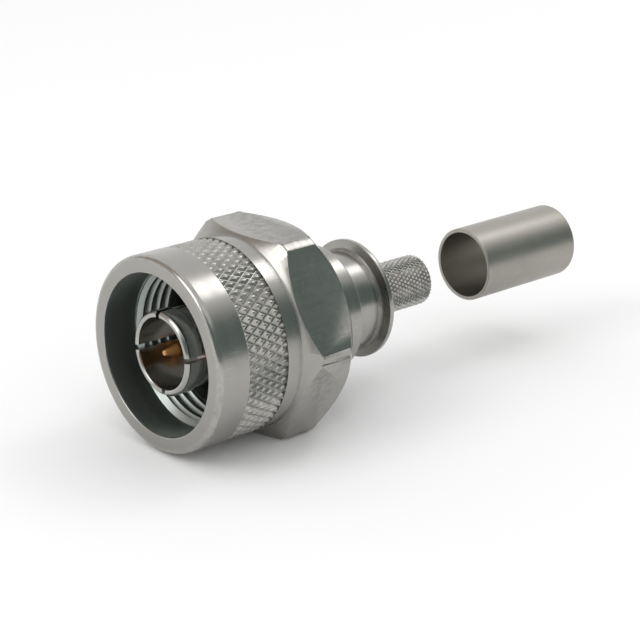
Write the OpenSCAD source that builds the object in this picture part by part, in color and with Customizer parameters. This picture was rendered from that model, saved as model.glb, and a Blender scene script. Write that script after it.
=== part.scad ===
// Straight crimp plug of the N series: a knurled and hexagonal coupling nut on a slotted
// outer contact, with a crimp stem and its loose ferrule.
// The connector's axis is +X, towards the cable. The origin is on the axis, at the front end
// of the outer contact, which is the plug's mating reference plane.

/* [Coupling nut] */
// Outside diameter of the smooth bands
nut_od = 19.35; // [18.8:0.05:19.5]
// Whole length of the nut
nut_length = 16.65; // [16.3:0.05:18]
// How far the nut's front edge stands ahead of the outer contact
nut_lead = 0.7; // [0.3:0.1:1.2]
// Rounding of the front outer edge
nut_front_round = 0.55; // [0.2:0.05:0.8]
// Bore of the smooth mouth
mouth_bore = 16; // [15.9:0.05:16.4]
// Depth of the smooth mouth
mouth_depth = 3.8; // [3:0.1:4.2]
// Chamfer that leads into the thread
thread_lead_in = 0.5; // [0.1:0.05:0.55]
// Bore of the thread, at its crests
thread_bore = 14.9; // [14.7:0.05:15.2]
// Length of the threaded bore
thread_length = 3.7; // [3:0.1:5.5]
// Bore of the chamber behind the thread
chamber_bore = 16.1; // [15.9:0.05:16.6]
// Wall from the chamber's floor to the nut's rear face
collar_length = 3.95; // [3.6:0.05:4.2]

/* [Nut knurl] */
// Distance from the front face to the knurl
knurl_start = 3.6; // [3:0.1:4.2]
// Length of the knurled band
knurl_length = 4.74; // [3.5:0.1:5.2]
// Diamonds round the band
knurl_teeth = 64; // [40:1:80]
// Half the length of a diamond, along the axis
knurl_half_pitch = 0.79; // [0.7:0.01:1]
// Depth of the knurl's grooves
knurl_depth = 0.27; // [0.15:0.01:0.3]

/* [Hexagon] */
// Size across flats
hex_flats = 20; // [19.7:0.1:21]
// Turned diameter of the corners
hex_corners = 22.56; // [21.8:0.02:22.8]
// Distance from the front face to the foot of the hexagon
hex_start = 9.99; // [9.6:0.05:10.4]
// Axial length of the front corner bevel
hex_front_bevel = 1.23; // [0.8:0.05:1.5]
// Axial length of the rear corner bevel
hex_rear_bevel = 1.94; // [1.2:0.05:2.2]
// Depth of the rear bevel below the corners
hex_rear_drop = 1.83; // [1.3:0.05:2]

/* [Outer contact] */
// Bore of the contact, which is the coaxial line's outer conductor
line_bore = 7; // [6.9:0.02:7.1]
// Diameter over the fingers' front lands
finger_od = 8.3; // [8.1:0.02:8.4]
// Diameter of the fingers behind their lands
finger_waist = 7.9; // [7.7:0.02:8]
// Length of the lands
finger_land = 1.9; // [1:0.1:3]
// Chamfer at the front of the lands
finger_chamfer = 0.25; // [0.1:0.05:0.4]
// Number of slots
slot_count = 4; // [3:1:6]
// Width of a slot
slot_width = 0.5; // [0.3:0.05:0.8]
// Length of a slot
slot_length = 6; // [4:0.1:7.5]
// Turn of the slots about the axis
slot_turn = -6; // [-45:1:45]
// Diameter of the seat pressed into the body
contact_seat = 8.8; // [8.6:0.02:9.2]
// Length of the outer contact
contact_length = 13.6; // [12.5:0.1:14.5]

/* [Body] */
// Distance from the reference plane to the body's front boss
boss_start = 9.2; // [8.9:0.1:9.6]
// Diameter of the boss inside the gasket
boss_od = 10.2; // [10:0.1:10.6]
// Diameter of the front flange
flange_od = 14.2; // [14:0.05:14.6]
// Thickness of the front flange
flange_thickness = 1.6; // [1.2:0.05:1.6]
// Diameter of the barrel that the nut turns on
barrel_od = 13; // [12.8:0.05:13.2]
// Distance from the reference plane to the barrel's rear end
barrel_end = 20.05; // [19.4:0.05:20.6]
// Diameter of the neck
neck_od = 10; // [9.6:0.05:10.6]
// Distance from the reference plane to the neck's rear end
neck_end = 23.8; // [23.2:0.05:24.4]
// Diameter of the rear flange
rear_flange_od = 12.18; // [11.8:0.02:12.6]
// Thickness of the rear flange's rim
rear_flange_rim = 0.47; // [0.3:0.01:0.8]
// Slope of the rear flange's front face, along the axis
rear_flange_slope = 0.38; // [0.1:0.01:0.6]
// Fillet at both ends of the neck
neck_fillet = 0.3; // [0.1:0.05:0.5]

/* [Crimp stem] */
// Length of the stem behind the rear flange
stem_length = 8.85; // [7:0.05:11]
// Diameter over the stem's knurl
stem_od = 5.24; // [5:0.02:5.6]
// Bore for the cable's dielectric
stem_bore = 3.9; // [3.5:0.02:4.1]
// Diamonds round the stem
stem_teeth = 34; // [24:1:40]
// Half the length of a diamond, along the axis
stem_half_pitch = 0.4; // [0.35:0.01:0.6]
// Depth of the stem's knurl
stem_knurl_depth = 0.15; // [0.08:0.01:0.17]
// Chamfer at the stem's end
stem_chamfer = 0.2; // [0.1:0.05:0.3]

/* [Snap ring] */
// Thickness along the axis
ring_thickness = 0.8; // [0.6:0.05:0.9]
// Diameter over the ring
ring_od = 13.9; // [13.6:0.05:14]
// Bore of the ring
ring_bore = 12.1; // [11.9:0.05:12.3]
// Gap between the ring's ends
ring_gap = 2.2; // [1:0.1:3]
// Distance from the body's front flange to the middle of the ring
ring_offset = 1.6; // [1.2:0.1:2.4]

/* [Gasket] */
// Outside diameter
gasket_od = 14.6; // [14:0.1:15.2]
// Thickness
gasket_thickness = 1.5; // [1:0.1:1.5]

/* [Centre contact] */
// Diameter of the pin
pin_d = 1.65; // [1.6:0.01:1.68]
// Distance from the reference plane to the pin's tip
pin_recess = 0.4; // [0.2:0.05:1]
// Length of the pin's cone
pin_cone = 1.5; // [0.5:0.05:1.8]
// Diameter of the cone's blunt tip
pin_tip_d = 0.5; // [0.3:0.05:0.8]
// Distance from the reference plane to the contact's shoulder
shoulder_recess = 5.26; // [5:0.01:5.6]
// Diameter of the contact's body
contact_d = 3.04; // [2.9:0.02:3.1]
// Diameter of the contact's solder end
solder_d = 2.4; // [2.2:0.05:2.6]
// Bore of the solder end
solder_bore = 1.5; // [1.3:0.05:1.6]
// Depth of the solder bore
solder_depth = 3.5; // [2:0.1:4.5]
// Distance from the solder end to the rear insulator's rear end
solder_setback = 1; // [0.5:0.1:1.5]
// Diameter of the cross hole that lets solder in
solder_hole = 0.8; // [0.6:0.05:1]

/* [Insulators] */
// Distance from the reference plane to the front insulator
insulator_start = 6.2; // [5.8:0.1:6.6]
// Thickness of the rear insulator
rear_insulator_length = 3.4; // [2.5:0.1:3.8]
// Diameter of the rear insulator
rear_insulator_od = 6; // [5.6:0.1:6.4]
// Distance from the reference plane to the rear insulator's rear end
rear_insulator_end = 21; // [20.6:0.1:21.6]

/* [Ferrule] */
// Outside diameter
ferrule_od = 7.75; // [7.6:0.05:8.2]
// Wall thickness
ferrule_wall = 0.4; // [0.3:0.02:0.5]
// Length
ferrule_length = 13.2; // [11:0.1:15]
// Distance that the ferrule is drawn back from its seat
ferrule_draw = 15.85; // [14:0.05:20]

/* [Clearances] */
// Radial clearance between the barrel and the nut
running_clearance = 0.06; // [0.03:0.01:0.1]
// Axial play of the nut between its flange and its ring
nut_play = 0.1; // [0.05:0.01:0.15]
// Clearance round the snap ring in its two grooves
ring_clearance = 0.1; // [0.05:0.01:0.15]
// Gap between the seated ferrule and the rear flange
ferrule_seat_gap = 0.1; // [0.05:0.01:0.2]
// Broken edges of turned pieces
edge_break = 0.12; // [0.05:0.01:0.15]

/* [Hidden] */
$fn = 96;
cut_margin = 1; // how far a cutter runs past what it cuts

nickel = [0.72, 0.71, 0.68];
gold = [0.83, 0.58, 0.22];
ptfe = [0.93, 0.93, 0.91];
silicone = [0.62, 0.2, 0.15];

// Lengths inside the nut, counted from its front face.
thread_start = mouth_depth + thread_lead_in;
chamber_start = thread_start + thread_length;
collar_start = nut_length - collar_length;
knurl_end = knurl_start + knurl_length;
collar_bore = barrel_od + 2 * running_clearance;

// The knurl's crests lie just below the smooth bands, and its grooves just above the band's floor.
knurl_crest_d = nut_od - 0.04;
knurl_floor_d = knurl_crest_d - 2 * knurl_depth - 0.2;
knurl_core_d = knurl_floor_d - 0.8;

// From here on, lengths are counted from the reference plane. The body's front flange stops
// the nut's collar, and the snap ring behind it holds the nut on.
flange_end = collar_start - nut_lead - nut_play;
flange_start = flange_end - flange_thickness;
ring_centre = flange_end + ring_offset;
groove_width = ring_thickness + 2 * ring_clearance;
body_groove_d = ring_bore - 2 * ring_clearance;
nut_groove_d = ring_od + 2 * ring_clearance;

rim_start = neck_end + rear_flange_slope;
rear_flange_end = rim_start + rear_flange_rim;
flange_tilt = atan2(rear_flange_slope, (rear_flange_od - neck_od) / 2);
stem_end = rear_flange_end + stem_length;
stem_core_d = stem_od - 2 * stem_knurl_depth - 0.1;
ferrule_start = rear_flange_end + ferrule_seat_gap + ferrule_draw;
solder_end = rear_insulator_end - solder_setback;

// Turns a profile of [radius, distance along the axis] points about the connector's axis.
module turned(profile) {
    rotate([0, 90, 0]) rotate_extrude() polygon(profile);
}

// Lays what is drawn along +Z along the connector's axis, from the distance start.
module along_axis(start = 0) {
    translate([start, 0, 0]) rotate([0, 90, 0]) children();
}

// A groove of square section that is cut to the diameter d and lies about the distance centre.
module ring_groove(inner_d, outer_d, centre) {
    turned([[inner_d / 2, centre - groove_width / 2], [outer_d / 2, centre - groove_width / 2],
            [outer_d / 2, centre + groove_width / 2], [inner_d / 2, centre + groove_width / 2]]);
}

// Points of an arc of radius r about the profile point [cr, cz].
function arc(cr, cz, r, from, to, steps = 6) =
    [for (i = [0:steps]) let (a = from + (to - from) * i / steps) [cr + r * cos(a), cz + r * sin(a)]];

// A sleeve covered with raised diamonds. Crests and groove crossings alternate on a grid of
// half diamonds, and each cell of the grid folds along its groove.
module diamond_sleeve(crest_d, depth, core_d, half_pitch, teeth, rows) {
    columns = 2 * teeth;
    core = (rows + 1) * columns;
    function is_crest(i, j) = (i + j) % 2 == 0 && j > 0 && j < rows;
    function ring_point(r, i, z) = [r * cos(360 * i / columns), r * sin(360 * i / columns), z];
    function skin_point(i, j) = ring_point(crest_d / 2 - (is_crest(i, j) ? 0 : depth), i, half_pitch * j);
    function at(i, j) = j * columns + i % columns;
    points = concat(
        [for (j = [0:rows], i = [0:columns - 1]) skin_point(i, j)],
        [for (j = [0, rows], i = [0:columns - 1]) ring_point(core_d / 2, i, half_pitch * j)]);
    skin = [for (j = [0:rows - 1], i = [0:columns - 1], lower = [true, false])
        (i + j) % 2 == 0
            ? (lower ? [at(i, j), at(i, j + 1), at(i + 1, j)]
                     : [at(i + 1, j), at(i, j + 1), at(i + 1, j + 1)])
            : (lower ? [at(i, j), at(i + 1, j + 1), at(i + 1, j)]
                     : [at(i, j), at(i, j + 1), at(i + 1, j + 1)])];
    inside = [for (i = [0:columns - 1]) let (n = (i + 1) % columns)
        [core + n, core + columns + n, core + columns + i, core + i]];
    front = [for (i = [0:columns - 1]) let (n = (i + 1) % columns)
        [core + i, at(i, 0), at(n, 0), core + n]];
    rear = [for (i = [0:columns - 1]) let (n = (i + 1) % columns)
        [core + columns + n, at(n, rows), at(i, rows), core + columns + i]];
    polyhedron(points = points, faces = concat(skin, inside, front, rear), convexity = 6);
}

// The nut's section: its outside from the mouth to the rear face, with the hexagon's turned
// corners, then its inside back to the mouth.
nut_section = concat(
    [[mouth_bore / 2 + edge_break, 0]],
    arc(nut_od / 2 - nut_front_round, nut_front_round, nut_front_round, -90, 0),
    [[nut_od / 2, knurl_start],
     [knurl_floor_d / 2, knurl_start],
     [knurl_floor_d / 2, knurl_end],
     [nut_od / 2, knurl_end],
     [nut_od / 2, hex_start],
     [hex_corners / 2, hex_start + hex_front_bevel],
     [hex_corners / 2, nut_length - hex_rear_bevel],
     [hex_corners / 2 - hex_rear_drop, nut_length],
     [collar_bore / 2 + edge_break, nut_length],
     [collar_bore / 2, nut_length - edge_break],
     [collar_bore / 2, collar_start],
     [chamber_bore / 2, collar_start],
     [chamber_bore / 2, chamber_start],
     [thread_bore / 2, chamber_start],
     [thread_bore / 2, thread_start],
     [thread_bore / 2 + thread_lead_in, mouth_depth],
     [mouth_bore / 2, mouth_depth],
     [mouth_bore / 2, edge_break]]);

module nut_knurl() {
    rows = 2 * floor(knurl_length / knurl_half_pitch / 2) + 1;
    length = rows * knurl_half_pitch;
    along_axis((knurl_start + knurl_end - length) / 2)
        diamond_sleeve(knurl_crest_d, knurl_depth, knurl_core_d, knurl_half_pitch, knurl_teeth, rows);
}

module coupling_nut() {
    color(nickel)
    translate([-nut_lead, 0, 0]) {
        difference() {
            intersection() {
                turned(nut_section);
                along_axis(-cut_margin) rotate(30)
                    cylinder(d = hex_flats / cos(30), h = nut_length + 2 * cut_margin, $fn = 6);
            }
            ring_groove(collar_bore - cut_margin, nut_groove_d, ring_centre + nut_lead);
        }
        nut_knurl();
    }
}

module snap_ring() {
    color(nickel)
    difference() {
        turned([[ring_bore / 2, ring_centre - ring_thickness / 2],
                [ring_od / 2, ring_centre - ring_thickness / 2],
                [ring_od / 2, ring_centre + ring_thickness / 2],
                [ring_bore / 2, ring_centre + ring_thickness / 2]]);
        translate([ring_centre - ring_thickness, -ring_gap / 2, 0])
            cube([2 * ring_thickness, ring_gap, ring_od]);
    }
}

module outer_contact() {
    step = (finger_od - finger_waist) / 2;
    color(nickel)
    difference() {
        turned([[line_bore / 2 + edge_break, 0],
                [finger_od / 2 - finger_chamfer, 0],
                [finger_od / 2, finger_chamfer],
                [finger_od / 2, finger_land],
                [finger_waist / 2, finger_land + step],
                [finger_waist / 2, boss_start],
                [contact_seat / 2, boss_start],
                [contact_seat / 2, contact_length],
                [line_bore / 2, contact_length],
                [line_bore / 2, edge_break]]);
        for (i = [0:slot_count - 1])
            rotate([slot_turn + 360 * i / slot_count, 0, 0])
                translate([-cut_margin, -slot_width / 2, 0])
                    cube([slot_length + cut_margin, slot_width, finger_od]);
    }
}

module connector_body() {
    fillet_r = neck_od / 2 + neck_fillet;
    fillet_drop = neck_fillet * (1 - sin(flange_tilt)) / cos(flange_tilt);
    color(nickel) {
        difference() {
            turned(concat(
                [[contact_seat / 2, boss_start],
                 [boss_od / 2 - edge_break, boss_start],
                 [boss_od / 2, boss_start + edge_break],
                 [boss_od / 2, flange_start],
                 [flange_od / 2, flange_start],
                 [flange_od / 2, flange_end],
                 [barrel_od / 2, flange_end],
                 [barrel_od / 2, barrel_end - edge_break],
                 [barrel_od / 2 - edge_break, barrel_end]],
                arc(fillet_r, barrel_end + neck_fillet, neck_fillet, -90, -180),
                arc(fillet_r, neck_end - fillet_drop, neck_fillet, 180, 90 + flange_tilt),
                [[rear_flange_od / 2, rim_start],
                 [rear_flange_od / 2, rear_flange_end - edge_break],
                 [rear_flange_od / 2 - edge_break, rear_flange_end],
                 [stem_core_d / 2, rear_flange_end],
                 [stem_core_d / 2, stem_end - stem_chamfer],
                 [stem_core_d / 2 - stem_chamfer, stem_end],
                 [stem_bore / 2 + edge_break, stem_end],
                 [stem_bore / 2, stem_end - edge_break],
                 [stem_bore / 2, rear_insulator_end],
                 [rear_insulator_od / 2, rear_insulator_end],
                 [rear_insulator_od / 2, contact_length],
                 [contact_seat / 2, contact_length]]));
            ring_groove(body_groove_d, barrel_od + cut_margin, ring_centre);
        }
        stem_knurl();
    }
}

module stem_knurl() {
    rows = round((stem_length - stem_chamfer) / stem_half_pitch) + 1;
    along_axis(stem_end - stem_chamfer - rows * stem_half_pitch)
        diamond_sleeve(stem_od, stem_knurl_depth, stem_core_d - 0.4, stem_half_pitch, stem_teeth, rows);
}

module gasket() {
    color(silicone)
    turned([[boss_od / 2, flange_start - gasket_thickness], [gasket_od / 2, flange_start - gasket_thickness],
            [gasket_od / 2, flange_start], [boss_od / 2, flange_start]]);
}

module front_insulator() {
    color(ptfe)
    turned([[contact_d / 2, insulator_start], [line_bore / 2, insulator_start],
            [line_bore / 2, contact_length], [contact_d / 2, contact_length]]);
}

module rear_insulator() {
    front = rear_insulator_end - rear_insulator_length;
    color(ptfe)
    turned([[solder_d / 2, front], [rear_insulator_od / 2, front],
            [rear_insulator_od / 2, rear_insulator_end], [solder_d / 2, rear_insulator_end]]);
}

module centre_contact() {
    bore_start = solder_end - solder_depth;
    color(gold)
    difference() {
        turned([[0, pin_recess],
                [pin_tip_d / 2, pin_recess],
                [pin_d / 2, pin_recess + pin_cone],
                [pin_d / 2, shoulder_recess],
                [contact_d / 2, shoulder_recess],
                [contact_d / 2, contact_length],
                [solder_d / 2, contact_length],
                [solder_d / 2, solder_end],
                [solder_bore / 2, solder_end],
                [solder_bore / 2, bore_start],
                [0, bore_start]]);
        translate([bore_start + solder_hole, 0, 0]) cylinder(d = solder_hole, h = solder_d);
    }
}

module crimp_ferrule() {
    end = ferrule_start + ferrule_length;
    bore = ferrule_od - 2 * ferrule_wall;
    color(nickel)
    turned([[bore / 2, ferrule_start],
            [ferrule_od / 2 - edge_break, ferrule_start],
            [ferrule_od / 2, ferrule_start + edge_break],
            [ferrule_od / 2, end - edge_break],
            [ferrule_od / 2 - edge_break, end],
            [bore / 2, end]]);
}

coupling_nut();
snap_ring();
outer_contact();
connector_body();
gasket();
front_insulator();
rear_insulator();
centre_contact();
crimp_ferrule();
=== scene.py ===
"""Dresses a straight crimp plug of the N series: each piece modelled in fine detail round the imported
frame, with its finish, and the floor, light and camera that show it.

Sections are drawn in millimetres along the plug's axis, +X towards the cable, and scaled to metres
when a piece is finished. The work of a piece is in its own operator, listed in the sidebar's panel.
"""

import math

import bmesh
import bpy
from bpy.props import FloatProperty, FloatVectorProperty, IntProperty, PointerProperty
from mathutils import Matrix, Vector


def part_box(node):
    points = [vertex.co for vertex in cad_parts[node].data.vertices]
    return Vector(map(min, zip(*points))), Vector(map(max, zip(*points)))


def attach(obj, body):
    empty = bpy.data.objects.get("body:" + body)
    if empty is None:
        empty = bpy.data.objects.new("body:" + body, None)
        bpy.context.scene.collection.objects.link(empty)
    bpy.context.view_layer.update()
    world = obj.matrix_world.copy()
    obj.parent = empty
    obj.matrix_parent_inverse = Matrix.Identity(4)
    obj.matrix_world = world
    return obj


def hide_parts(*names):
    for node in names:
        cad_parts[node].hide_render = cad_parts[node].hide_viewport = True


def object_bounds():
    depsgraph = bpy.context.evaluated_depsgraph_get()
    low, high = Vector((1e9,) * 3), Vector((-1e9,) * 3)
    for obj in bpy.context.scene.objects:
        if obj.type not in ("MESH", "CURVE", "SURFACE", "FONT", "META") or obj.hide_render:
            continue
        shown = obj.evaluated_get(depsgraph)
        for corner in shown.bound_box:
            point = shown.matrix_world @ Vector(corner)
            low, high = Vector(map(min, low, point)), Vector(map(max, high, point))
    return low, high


bl_info = {
    "name": "Crimp plug builder",
    "version": (1, 0, 0),
    "blender": (4, 5, 0),
    "location": "View3D > Sidebar > Crimp plug",
    "description": "Models a coaxial crimp plug with its coupling nut, contacts and ferrule",
    "category": "Add Mesh",
}

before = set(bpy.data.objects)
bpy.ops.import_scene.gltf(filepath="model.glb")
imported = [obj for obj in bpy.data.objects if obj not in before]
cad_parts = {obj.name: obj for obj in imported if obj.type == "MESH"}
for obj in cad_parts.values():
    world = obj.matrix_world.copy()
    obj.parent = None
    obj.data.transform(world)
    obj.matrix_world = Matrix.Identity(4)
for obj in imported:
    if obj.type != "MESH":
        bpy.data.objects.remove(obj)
CAD_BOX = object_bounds()

MM = 1000.0  # millimetres in a metre
TURN_STEPS = 256  # faces round a turned piece
WELD = 1e-4  # mm within which points are the same
SMOOTH_LIMIT = math.radians(24)  # sharper edges than this stay crisp
MASK_ANGLE = math.radians(22)  # an edge this sharp is fully lightened if convex (rubbing plus painted highlight), and fully darkened if concave (soiling plus painted shade)

NUT_FRONT, NUT_REAR = (corner.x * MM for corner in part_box("coupling_nut"))
CONTACT_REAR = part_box("outer_contact")[1].x * MM
BODY_FRONT, BODY_REAR = (corner.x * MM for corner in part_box("connector_body"))
PIN_FRONT, PIN_REAR = (corner.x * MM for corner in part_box("centre_contact"))
BEAD_FRONT, BEAD_REAR = (corner.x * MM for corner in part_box("front_insulator"))
SEAL_FRONT, SEAL_REAR = (corner.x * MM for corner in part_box("gasket"))
FERRULE_FRONT, FERRULE_REAR = (corner.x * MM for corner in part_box("crimp_ferrule"))
FERRULE_OD = 2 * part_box("crimp_ferrule")[1].y * MM
GASKET_OD = 2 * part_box("gasket")[1].y * MM
FLOOR_LEVEL = CAD_BOX[0].z


def length(name, description, millimetres):
    """A length that a user can change; the default is given in millimetres."""
    return FloatProperty(
        name=name, description=description, default=millimetres / MM, min=0, unit="LENGTH", precision=5
    )


def place(name, description, millimetres):
    """A distance along the plug's axis from the mating reference plane."""
    return FloatProperty(
        name=name, description=description, default=millimetres / MM, unit="LENGTH", precision=5
    )


def colour(name, description, rgb):
    return FloatVectorProperty(
        name=name, description=description, default=rgb, min=0, max=1, size=3, subtype="COLOR"
    )


def share(name, description, value, largest=1.0):
    return FloatProperty(
        name=name, description=description, default=value, min=0, max=largest, subtype="FACTOR"
    )


def angle(name, description, degrees):
    return FloatProperty(
        name=name, description=description, default=math.radians(degrees), subtype="ANGLE"
    )


class NutSizes(bpy.types.PropertyGroup):
    """Sizes of the coupling nut."""

    front: place("Front face", "Where the nut's front face stands", NUT_FRONT)
    rear: place("Rear face", "Where the nut's rear face stands", NUT_REAR)
    band_od: length("Band diameter", "Diameter of the smooth bands", 19.35)
    front_round: length("Front rounding", "Rounding of the front outer edge", 0.55)
    mouth_bore: length("Mouth bore", "Bore of the smooth mouth", 16.0)
    mouth_depth: length("Mouth depth", "Depth of the smooth mouth", 3.8)
    lead_in: length("Lead-in", "Chamfer that leads into the thread", 0.5)
    thread_bore: length("Thread bore", "Diameter over the thread's crests", 14.9)
    thread_root: length("Thread root", "Diameter at the thread's roots", 15.875)
    thread_pitch: length("Thread pitch", "Distance from crest to crest", 25.4 / 24)
    thread_length: length("Thread length", "Length of the threaded bore behind its lead-in", 3.7)
    chamber_bore: length("Chamber bore", "Bore of the chamber behind the thread", 16.1)
    collar_bore: length("Collar bore", "Bore that turns on the body's barrel", 13.12)
    collar_length: length("Collar length", "From the chamber's floor to the rear face", 3.95)
    ring_groove_bore: length("Ring groove", "Diameter of the groove for the snap ring", 14.1)
    knurl_start: length("Knurl start", "From the front face to the knurl", 3.6)
    knurl_length: length("Knurl length", "Length of the knurled band", 4.74)
    knurl_row: length("First crest row", "From the front face to the first row of crests", 3.85)
    knurl_teeth: IntProperty(name="Knurl diamonds", description="Diamonds round the band", default=64, min=12)
    knurl_half_pitch: length("Knurl half pitch", "Half a diamond's length along the axis", 0.79)
    knurl_depth: length("Knurl depth", "Height of the diamonds", 0.21)
    hex_flats: length("Across flats", "Size of the hexagon across its flats", 20.0)
    hex_corners: length("Across corners", "Turned diameter of the hexagon's corners", 22.56)
    hex_start: length("Hexagon start", "From the front face to the hexagon's foot", 9.99)
    hex_front_bevel: length("Front bevel", "Axial length of the front corner bevel", 1.23)
    hex_rear_bevel: length("Rear bevel", "Axial length of the rear corner bevel", 1.94)
    hex_rear_drop: length("Rear bevel drop", "Depth of the rear bevel below the corners", 1.83)
    hex_edge: length("Flat edges", "Rounding of the edges of the flats", 0.05)


class BodySizes(bpy.types.PropertyGroup):
    """Sizes of the connector's body."""

    front: place("Boss front", "Where the front boss begins", BODY_FRONT)
    rear: place("Stem end", "Where the crimp stem ends", BODY_REAR)
    boss_od: length("Boss diameter", "Diameter of the boss inside the gasket", 10.2)
    flange_start: place("Flange front", "Where the front flange begins", 10.3)
    flange_end: place("Flange rear", "Where the front flange ends", 11.9)
    flange_od: length("Flange diameter", "Diameter of the front flange", 14.2)
    ring_centre: place("Snap ring", "Middle of the snap ring's groove", 13.5)
    ring_groove_width: length("Ring groove width", "Width of the snap ring's grooves", 1.0)
    ring_groove_od: length("Ring groove floor", "Diameter of the groove's floor", 11.9)
    barrel_od: length("Barrel diameter", "Diameter of the barrel that the nut turns on", 13.0)
    barrel_end: place("Barrel end", "Where the barrel ends", 20.05)
    neck_od: length("Neck diameter", "Diameter of the neck", 10.0)
    neck_end: place("Neck end", "Where the neck ends", 23.8)
    neck_fillet: length("Neck fillet", "Fillet at both ends of the neck", 0.3)
    rim_start: place("Rim start", "Where the rear flange's rim begins", 24.18)
    rim_end: place("Rim end", "Where the rear flange's rim ends", 24.65)
    rim_od: length("Rim diameter", "Diameter of the rear flange", 12.18)
    stem_core_od: length("Stem core", "Diameter of the stem behind its knurl", 4.84)
    stem_od: length("Stem diameter", "Diameter over the stem's knurl", 5.24)
    stem_bore: length("Stem bore", "Bore for the cable's dielectric", 3.9)
    stem_chamfer: length("Stem chamfer", "Chamfer at the stem's end", 0.2)
    stem_teeth: IntProperty(name="Stem diamonds", description="Diamonds round the stem", default=34, min=12)
    stem_half_pitch: length("Stem half pitch", "Half a diamond's length along the axis", 0.4)
    stem_knurl_depth: length("Stem knurl depth", "Height of the diamonds", 0.15)
    contact_seat: length("Contact seat", "Bore that holds the outer contact", 8.8)
    insulator_bore: length("Insulator bore", "Bore that holds the rear insulator", 6.0)
    insulator_end: place("Insulator stop", "Where the rear insulator's bore ends", 21.0)
    edge_round: length("Edge rounding", "Rounding of turned edges", 0.12)


class ContactSizes(bpy.types.PropertyGroup):
    """Sizes of the outer contact, the centre contact and what stands between them."""

    outer_rear: place("Outer contact rear", "Where the outer contact ends", CONTACT_REAR)
    line_bore: length("Line bore", "Bore of the outer contact", 7.0)
    finger_od: length("Finger lands", "Diameter over the fingers' lands", 8.3)
    finger_waist: length("Finger waist", "Diameter of the fingers behind their lands", 7.9)
    finger_land: length("Land length", "Length of the lands", 1.9)
    finger_chamfer: length("Finger chamfer", "Chamfer at the front of the lands", 0.25)
    seat_start: place("Seat start", "Where the outer contact's seat begins", 9.2)
    seat_od: length("Seat diameter", "Diameter of the seat in the body", 8.8)
    slot_count: IntProperty(name="Slots", description="Number of slots", default=4, min=2)
    slot_width: length("Slot width", "Width of a slot", 0.5)
    slot_length: length("Slot length", "Length of a slot", 6.0)
    slot_turn: angle("Slot turn", "Turn of the slots about the axis", -6)
    pin_front: place("Pin tip", "Where the pin's tip stands", PIN_FRONT)
    pin_rear: place("Solder end", "Where the centre contact ends", PIN_REAR)
    pin_od: length("Pin diameter", "Diameter of the pin", 1.65)
    pin_cone: length("Pin cone", "Length of the pin's cone", 1.5)
    pin_tip_od: length("Pin tip", "Diameter of the cone's blunt tip", 0.5)
    shoulder: place("Shoulder", "Where the pin meets the contact's body", 5.26)
    contact_od: length("Contact body", "Diameter of the contact's body", 3.04)
    solder_od: length("Solder end diameter", "Diameter of the solder end", 2.4)
    solder_bore: length("Solder bore", "Bore of the solder end", 1.5)
    solder_depth: length("Solder depth", "Depth of the solder bore", 3.5)
    solder_hole: length("Solder hole", "Diameter of the cross hole", 0.8)
    bead_front: place("Front insulator", "Where the front insulator begins", BEAD_FRONT)
    bead_rear: place("Front insulator rear", "Where the front insulator ends", BEAD_REAR)
    seal_front: place("Gasket front", "Where the gasket begins", SEAL_FRONT)
    seal_rear: place("Gasket rear", "Where the gasket ends", SEAL_REAR)
    seal_od: length("Gasket diameter", "Outside diameter of the gasket", GASKET_OD)
    seal_bore: length("Gasket bore", "Bore of the gasket", 10.2)


class FerruleSizes(bpy.types.PropertyGroup):
    """Sizes of the crimp ferrule."""

    front: place("Front", "Where the ferrule begins", FERRULE_FRONT)
    rear: place("Rear", "Where the ferrule ends", FERRULE_REAR)
    od: length("Diameter", "Outside diameter", FERRULE_OD)
    wall: length("Wall", "Wall thickness", 0.4)
    edge_round: length("Edge rounding", "Rounding of the outer edges", 0.12)


class Finishes(bpy.types.PropertyGroup):
    """Colours of the finishes."""

    nickel: colour("Nickel", "Bright nickel plate on the nut and the body", (0.355, 0.345, 0.325))
    # Lighter and greener than the outer nickel: painted light lifting the shaded bore, tinted as a painted
    # reflection of the green-grey room.
    inside: colour("Inner nickel", "Dull plate inside the nut", (0.42, 0.455, 0.435))
    satin: colour("Satin nickel", "Satin plate on the ferrule", (0.36, 0.345, 0.31))
    spring: colour("Spring plate", "Plate on the outer contact", (0.40, 0.395, 0.375))
    tarnish: colour("Tarnish", "Film that dulls the plate", (0.22, 0.21, 0.18))
    # Near black laid into grooves and concave corners: partly soiling, partly painted shade.
    grime: colour("Grime", "What collects in grooves and corners", (0.035, 0.033, 0.028))
    gold: colour("Gold", "Gold plate on the centre contact", (0.52, 0.28, 0.11))
    dielectric: colour("Dielectric", "Fluoropolymer of the insulators", (0.80, 0.79, 0.75))
    rubber: colour("Rubber", "Black silicone rubber of the gasket", (0.028, 0.03, 0.03))


class StudioSettings(bpy.types.PropertyGroup):
    """Camera, floor and light."""

    azimuth: angle("Azimuth", "Turn of the view round the plug; 0 looks along +Y", -42.09)
    elevation: angle("Elevation", "Height of the view above the horizon", 20.473)
    roll: angle("Roll", "Turn of the camera about its line of sight", 0.795)
    distance: length("Distance", "From the camera to the point that it looks at", 211.91)
    target: FloatVectorProperty(
        name="Target",
        description="Point that the camera looks at",
        default=(0.01723, -0.0033, 0.00027),
        size=3,
        subtype="TRANSLATION",
        unit="LENGTH",
        precision=5,
    )
    lens: FloatProperty(
        name="Lens", description="Focal length", default=121.496, min=1, unit="CAMERA"
    )
    floor_size: length("Floor size", "Side of the floor", 6000)
    floor_colour: colour("Floor colour", "Plain pale floor", (0.93, 0.93, 0.93))
    fill: share("Fill light", "Strength of the even light from all round", 0.92, 4)
    softbox: share("Softbox", "Radiance of the overhead softbox", 3.0, 20)
    side_softbox: share("Side softbox", "Radiance of the softbox beside the mouth", 2.6, 20)
    corner: colour("Corner", "The dim corner behind the nut, as metal reflects it", (0.55, 0.5, 0.46))
    room: colour("Dark side", "The unlit side of the room, as metal reflects it", (0.19, 0.24, 0.23))


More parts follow.
